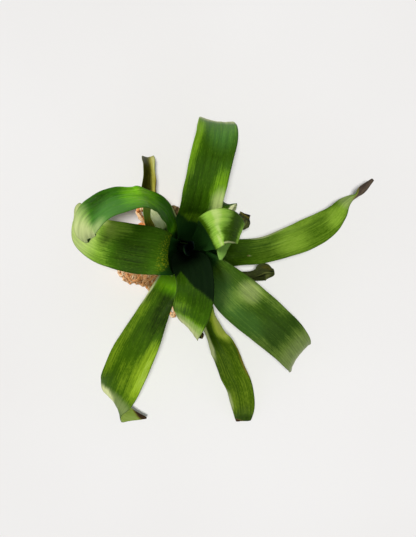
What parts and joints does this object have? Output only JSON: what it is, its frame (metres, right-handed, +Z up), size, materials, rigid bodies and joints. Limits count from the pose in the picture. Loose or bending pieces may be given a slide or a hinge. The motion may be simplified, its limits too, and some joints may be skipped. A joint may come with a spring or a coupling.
{
  "type": "air plant",
  "caption": "Leaning rosette of broad curling strap leaves on a short stock with a ball of curled roots.",
  "frame": {"origin": "centre of the bounding box's bottom face, on the surface that the plant rests on", "axes": "+Z up, the shortest extent; +X to the picture's right, +Y to the picture's top, -Y the front"},
  "size_m": [0.2681, 0.275, 0.1359],
  "materials": {
    "roots": "matte",
    "stock": "matte",
    "leaf_green": "satin",
    "leaf_yellow_green": "satin",
    "leaf_olive": "satin",
    "leaf_pale": "matte",
    "leaf_dry": "matte"
  },
  "bodies": {
    "root": {"root_mass": "roots", "stem": "stock", "heart_leaf_left": "leaf_green", "heart_leaf_right": "leaf_green", "leaf_rolled": "leaf_green", "leaf_front": "leaf_green", "leaf_left": "leaf_green", "leaf_back": "leaf_green", "leaf_front_right": "leaf_green", "leaf_loop": "leaf_green", "leaf_front_left": "leaf_green", "leaf_right": "leaf_yellow_green", "leaf_front_folded": "leaf_yellow_green", "leaf_back_short": "leaf_olive", "leaf_back_folded": "leaf_olive", "leaf_pale": "leaf_pale", "dry_leaf_back_right": "leaf_dry", "dry_leaf_right": "leaf_dry", "dry_leaf_back": "leaf_dry"}
  },
  "joints": []
}
